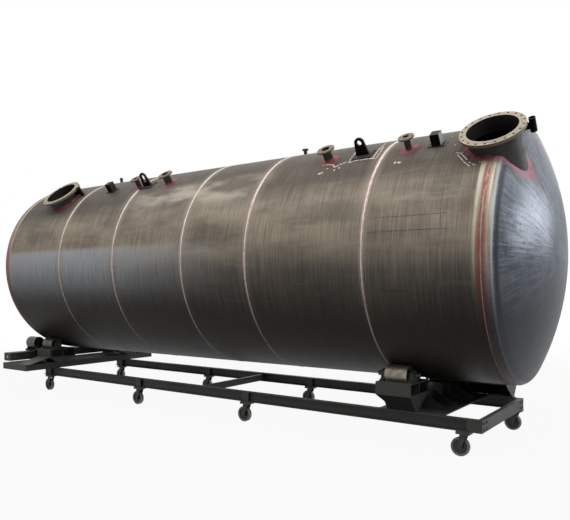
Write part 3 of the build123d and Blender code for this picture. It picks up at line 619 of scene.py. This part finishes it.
tread_finishes = {}
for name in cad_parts:
    if name.endswith("_roller") or "caster_wheel" in name:
        low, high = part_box(name)
        along, rim_share, tread, side = tread_look(name)
        radius = (high.z - low.z) / 2
        tread_finishes[name] = make_worn_tread(
            name + "_steel", (low + high) / 2, along, radius, rim_share, tread, side)
print(len(tread_finishes), "worn treads")

# %% [markdown]
# Each CAD node now gets its finish by its name. The right cleat comes before the other cleats, because its
# end was cut bright.

# %% Finishes on the nodes


def finish_for(name):
    if name.startswith("shell_course"):
        return shell_plate
    if name.endswith("_head"):
        return head_plate
    if name in flange_finishes:
        return flange_finishes[name]
    if name in tread_finishes:
        return tread_finishes[name]
    if name == "right_cleat":
        return cleat_steel
    if "cleat" in name or "lug" in name or "davit" in name or name.startswith("top_"):
        return black_steel
    if name.endswith("_rail"):
        return rail_paint
    if "bearing" in name:
        return bearing_iron
    if "caster" in name:
        return caster_steel
    return stand_paint


for name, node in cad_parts.items():
    node.data.materials.clear()
    node.data.materials.append(finish_for(name))
print("finishes on", len(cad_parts), "nodes")

# %% [markdown]
# A girth weld is a low rippled bead. It could be a bump in the plate's finish, but its outline shows at
# the tank's edge, so each bead is a thin ring of mesh with ripples from the passes of the torch. The girth
# beads are white with the chalky film of the dye test, and the two at the heads are ground nearly flat.

# %% Weld beads
bead_steps, bead_points = 900, 6
bead_sink = 0.0015


def make_weld_metal(name, hollow, crest, metal):
    finish, tree, skin = new_finish(name, metal, 0.5, 0.3)
    x, arc, _ = round_the_tank(tree)
    runs = streaks(tree, x, arc, (60.0, 5.0))
    around = calc(tree, "ABSOLUTE", arc)
    # painted shade: the bead darkens towards the underside
    underside = fade(tree, around, shell_radius * 1.6, shell_radius * 2.5, 0.0, 0.8)
    colour = tint(tree, fade(tree, runs, 0.3, 0.55), hollow, crest)
    feed(tree, skin.inputs["Base Color"], tint(tree, underside, colour, tuple(v * 0.4 for v in hollow)))
    feed(tree, skin.inputs["Roughness"], fade(tree, runs, 0.3, 0.7, 0.6, 0.45))
    return finish


def new_object(name, mesh, finish):
    """Turn the mesh under construction into an object of the scene with this finish."""
    data = bpy.data.meshes.new(name)
    mesh.to_mesh(data)
    mesh.free()
    data.materials.append(finish)
    made = bpy.data.objects.new(name, data)
    scene.collection.objects.link(made)
    return made


def under_manway(point):
    return any((point - on_shell(*feet[name])).length < neck_and_bore[name][0] for name in manways)


def make_ring_bead(name, x, half_width, height, finish):
    """A rippled bead round the shell, sunk a little into it, and left out inside a manway's neck."""
    mesh = bmesh.new()
    rings = []
    turns = [2 * math.pi * i / bead_steps for i in range(bead_steps)]
    for i, turn in enumerate(turns):
        ripple = 1 + 0.16 * math.sin(i * 2.1) + 0.08 * math.sin(i * 0.37)
        ring = []
        for k in range(bead_points):
            side = -1 + 2 * k / (bead_points - 1)
            lift = height * ripple * (1 - side * side) - bead_sink
            shift = half_width * side * (1 + 0.1 * math.sin(i * 0.83 + 1.7))
            ring.append(mesh.verts.new(on_shell(x + shift, turn, lift)))
        rings.append(ring)
    for i, turn in enumerate(turns):
        if under_manway(on_shell(x, turn)):
            continue
        here, after = rings[i], rings[(i + 1) % bead_steps]
        for k in range(bead_points - 1):
            mesh.faces.new((here[k], here[k + 1], after[k + 1], after[k])).smooth = True
    bmesh.ops.delete(mesh, geom=[v for v in mesh.verts if not v.link_faces], context="VERTS")
    bead = new_object(name, mesh, finish)
    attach(bead, "tank")


girth_weld = make_weld_metal("girth_weld_film", (0.74, 0.62, 0.59), (0.9, 0.88, 0.86), 0.0)
head_weld = make_weld_metal("ground_head_weld", (0.2, 0.16, 0.14), (0.42, 0.38, 0.33), 0.2)
for i, x in enumerate(seams):
    if i in (0, len(seams) - 1):
        make_ring_bead(f"girth_weld_{i + 1}", x, 0.007, 0.0025, head_weld)
    else:
        make_ring_bead(f"girth_weld_{i + 1}", x, 0.013, 0.0045, girth_weld)
print(len(seams), "girth welds")

# %% [markdown]
# Bolts hold the casters' plates, the bearings' feet and the corners of the stand. One function makes a
# hexagon head with a bevelled top on a washer, and repeats it over a list of places and directions.

# %% Bolts
bolt_profile = [(1.25, 0.0, 24), (1.25, 0.16, 24), (1.0, 0.18, 6), (1.0, 0.72, 6), (0.8, 0.84, 6)]


def add_bolts(name, places, size):
    """One mesh of bolts. The profile gives reach, height and sides, in shares of the bolt's size."""
    mesh = bmesh.new()
    for spot, outward in places:
        turn = Vector(outward).to_track_quat("Z", "Y").to_matrix()
        for lower, upper in zip(bolt_profile, bolt_profile[1:]):
            sides = lower[2]
            if upper[2] != sides:
                continue
            rings = []
            for reach, height in (lower[:2], upper[:2]):
                ring = []
                for k in range(sides):
                    angle = 2 * math.pi * k / sides
                    point = Vector((math.cos(angle) * reach, math.sin(angle) * reach, height)) * size
                    ring.append(mesh.verts.new(Vector(spot) + turn @ point))
                rings.append(ring)
            for k in range(sides):
                after = (k + 1) % sides
                mesh.faces.new((rings[0][k], rings[0][after], rings[1][after], rings[1][k]))
            mesh.faces.new(rings[1])
    bmesh.ops.remove_doubles(mesh, verts=mesh.verts, dist=size * 0.001)
    bolts = new_object(name, mesh, bearing_iron)
    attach(bolts, "stand")
    print(name, len(places), "bolts")


upward, endward = (0, 0, 1), (1, 0, 0)
crown_radius = 0.048
plate_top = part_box("caster_plates")[1].z
plate_bolts = []
for side, way in (("near", -1), ("far", 1)):
    for i in range(1, 5):
        pivot_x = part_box(f"{side}_caster_fork_{i}")[1].x - crown_radius
        for step in (-0.06, 0.06):
            for edge in (-0.05, 0.05):
                plate_bolts.append(((pivot_x + step, way * rail_y + edge, plate_top), upward))
add_bolts("caster_plate_bolts", plate_bolts, 0.011)

beam_low, beam_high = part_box("right_end_beam")
corner_bolts = []
for way in (-1, 1):
    for inward in (0.05, 0.15):
        for height in (0.035, 0.105):
            spot = (beam_high.x, way * (beam_high.y - inward), beam_low.z + height)
            corner_bolts.append((spot, endward))
add_bolts("corner_bolts", corner_bolts, 0.012)

foot_height, foot_reach = 0.024, 0.088
bearing_bolts = []
for which, block_width in (("right", 0.052), ("left", 0.036)):
    low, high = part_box(f"{which}_bearings")
    roller_low, roller_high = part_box(f"{which}_far_roller")
    roller_y = (roller_low.y + roller_high.y) / 2
    for block_x in (low.x + block_width / 2, high.x - block_width / 2):
        for bolt_y in (roller_y - foot_reach, roller_y + foot_reach):
            for way in (-1, 1):
                bearing_bolts.append(((block_x, way * bolt_y, low.z + foot_height), upward))
add_bolts("bearing_bolts", bearing_bolts, 0.011)

# %% [markdown]
# Welders draw on the plate with chalk and marker: a frame round the right lug, a zigzag beside it, and
# ticks near the manway. Each stroke is a thin ribbon that follows the shell, given as length along the
# tank in metres and degrees down from the top. Chalk breaks up over the scale, so its colour is patchy.

# %% Chalk and marker strokes
stroke_step, stroke_lift = 0.03, 0.0008


def make_stroke_finish(name, strong, faint, scale):
    finish, tree, skin = new_finish(name, 0.0, 0.9)
    crumbs = grain(tree, place(tree), scale, 4.0, 0.7)
    feed(tree, skin.inputs["Base Color"], tint(tree, fade(tree, crumbs, 0.4, 0.6), faint, strong))
    return finish


chalk = make_stroke_finish("chalk", (0.78, 0.735, 0.66), (0.33, 0.3, 0.26), 60.0)
marker = make_stroke_finish("marker", (0.045, 0.04, 0.036), (0.15, 0.13, 0.11), 40.0)


def draw_strokes(name, strokes, width, finish):
    """Ribbons of this width along the strokes, cut into short steps and just off the shell."""
    mesh = bmesh.new()
    for stroke in strokes:
        flat = [Vector((x, math.radians(lean) * shell_radius)) for x, lean in stroke]
        line = [flat[0]]
        for start, end in zip(flat, flat[1:]):
            parts = max(1, math.ceil((end - start).length / stroke_step))
            line += [start.lerp(end, k / parts) for k in range(1, parts + 1)]
        edges = []
        for i, point in enumerate(line):
            along = (line[min(i + 1, len(line) - 1)] - line[max(i - 1, 0)]).normalized()
            across = Vector((-along.y, along.x)) * width * (0.5 + 0.14 * math.sin(i * 2.3))
            pair = [point + across, point - across]
            edges.append([mesh.verts.new(on_shell(q.x, q.y / shell_radius, stroke_lift)) for q in pair])
        for here, after in zip(edges, edges[1:]):
            mesh.faces.new((here[0], here[1], after[1], after[0]))
    bmesh.ops.recalc_face_normals(mesh, faces=mesh.faces)
    drawn = new_object(name, mesh, finish)
    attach(drawn, "tank")
    print(name, len(drawn.data.polygons), "faces")


draw_strokes("lug_chalk_frame", [
    [(2.356, 27.7), (2.39, 36.0), (2.397, 42.5)],
    [(2.397, 42.5), (2.47, 41.3), (2.583, 41.4), (2.674, 41.3), (2.743, 42.0)],
    [(2.707, 41.1), (2.698, 35.1), (2.682, 25.6), (2.658, 20.4)],
    [(2.75, 41.7), (2.75, 35.7), (2.718, 29.5)],
    [(2.019, 42.0), (2.085, 41.6), (2.184, 42.4), (2.23, 44.8), (2.281, 43.2), (2.358, 41.5)],
    [(2.12, 45.0), (2.15, 45.3)], [(2.235, 46.9), (2.262, 47.1)], [(2.3, 45.0), (2.31, 46.4)],
], 0.017, chalk)
draw_strokes("manway_chalk_ticks", [
    [(3.725, 45.8), (3.784, 46.8), (3.878, 51.4)],
    [(3.751, 47.4), (3.857, 52.8), (3.921, 55.1)],
    [(3.94, 54.2), (3.985, 55.0)], [(3.9, 53.0), (3.925, 53.4)], [(4.01, 53.3), (4.035, 53.8)],
    [(3.665, 39.4), (3.682, 39.8)], [(3.788, 46.0), (3.802, 46.5)], [(3.825, 43.7), (3.84, 44.1)],
    [(3.555, 29.4), (3.57, 29.7)], [(3.598, 25.4), (3.612, 25.8)],
], 0.012, chalk)
draw_strokes("chalk_dabs", [
    [(2.035, 48.1), (2.062, 48.3), (2.1, 47.6)],
    [(3.028, 47.1), (3.05, 47.6)], [(3.07, 47.5), (3.118, 47.7)],
], 0.026, chalk)
draw_strokes("marker_lines", [
    [(3.747, 58.1), (3.915, 58.3), (4.021, 58.2)],
    [(3.747, 58.1), (3.742, 60.9), (3.739, 65.7)],
    [(3.632, 44.6), (3.7, 49.5), (3.831, 56.1)], [(3.872, 55.6), (3.932, 57.4)],
    [(2.938, 75.4), (3.35, 75.6), (3.776, 75.5)], [(2.893, 81.6), (3.3, 81.5), (3.787, 81.7)],
    [(3.681, 55.8), (3.7, 69.0), (3.714, 81.0)],
], 0.005, marker)

# %% [markdown]
# The floor is plain and pale. The camera and mirror-like metal see it white, as they see the background,
# and only a faint shadow is left on it. A wide lamp overhead lights the upper side of the shell, two
# smaller ones beyond the right end light the ground head, and a wide soft one lights the far side.

# %% Floor, background and light
floor_corners = [(-60, -60, 0), (60, -60, 0), (60, 60, 0), (-60, 60, 0)]
floor = bpy.data.objects.new("floor", bpy.data.meshes.new("floor"))
floor.data.from_pydata(floor_corners, [], [(0, 1, 2, 3)])
scene.collection.objects.link(floor)


def seen_directly(tree):
    """One for rays from the camera, and for those that a shiny or clear surface passes on."""
    rays = tree.nodes.new("ShaderNodeLightPath")
    seen = calc(tree, "ADD", rays.outputs["Is Camera Ray"], rays.outputs["Is Glossy Ray"])
    return calc(tree, "MINIMUM", calc(tree, "ADD", seen, rays.outputs["Is Transmission Ray"]), 1.0)


def mix_shaders(tree, amount, first, second, output):
    blend = tree.nodes.new("ShaderNodeMixShader")
    tree.links.new(amount, blend.inputs[0])
    tree.links.new(first.outputs[0], blend.inputs[1])
    tree.links.new(second.outputs[0], blend.inputs[2])
    tree.links.new(blend.outputs[0], tree.nodes.new(output).inputs["Surface"])


pale = bpy.data.materials.new("pale_floor")
pale.use_nodes = True
tree = pale.node_tree
tree.nodes.clear()
matt = tree.nodes.new("ShaderNodeBsdfDiffuse")
matt.inputs["Color"].default_value = (0.2, 0.2, 0.2, 1)
glow = tree.nodes.new("ShaderNodeEmission")
shown = fade(tree, distance_to(tree, (0, 0, 0)), 6.0, 14.0, 0.94, 1.0)
mix_shaders(tree, times(tree, seen_directly(tree), shown), matt, glow, "ShaderNodeOutputMaterial")
floor.data.materials.append(pale)

world = bpy.data.worlds.new("studio")
scene.world = world
world.use_nodes = True
tree = world.node_tree
tree.nodes.clear()
fill = tree.nodes.new("ShaderNodeBackground")
fill.inputs["Color"].default_value = (0.07, 0.072, 0.076, 1)
white = tree.nodes.new("ShaderNodeBackground")
white.inputs["Color"].default_value = (1, 1, 1, 1)
mix_shaders(tree, seen_directly(tree), fill, white, "ShaderNodeOutputWorld")


def add_lamp(name, spot, aim, size, power, colour):
    lamp = bpy.data.objects.new(name, bpy.data.lights.new(name, "AREA"))
    lamp.data.shape = "RECTANGLE"
    lamp.data.size, lamp.data.size_y = size
    lamp.data.energy = power
    lamp.data.color = colour
    lamp.location = spot
    lamp.rotation_euler = (Vector(aim) - Vector(spot)).to_track_quat("-Z", "Y").to_euler()
    scene.collection.objects.link(lamp)


add_lamp("overhead", (0.5, -4.0, 9.5), (0, 0, 2.2), (14, 6), 800, (1.0, 0.955, 0.9))
add_lamp("right_end", (10.5, -3.5, 7.0), (4.5, -0.3, 2.0), (4, 3), 260, (0.9, 0.95, 1.0))
add_lamp("far_side", (-1.0, 9.0, 6.5), (0, 0, 1.6), (12, 4), 260, (1.0, 0.97, 0.94))
add_lamp("behind_right", (8.6, 3.4, 4.9), (4.45, -0.7, 2.6), (2.5, 2.5), 110, (0.9, 0.95, 1.0))
print("floor, background and four lamps")
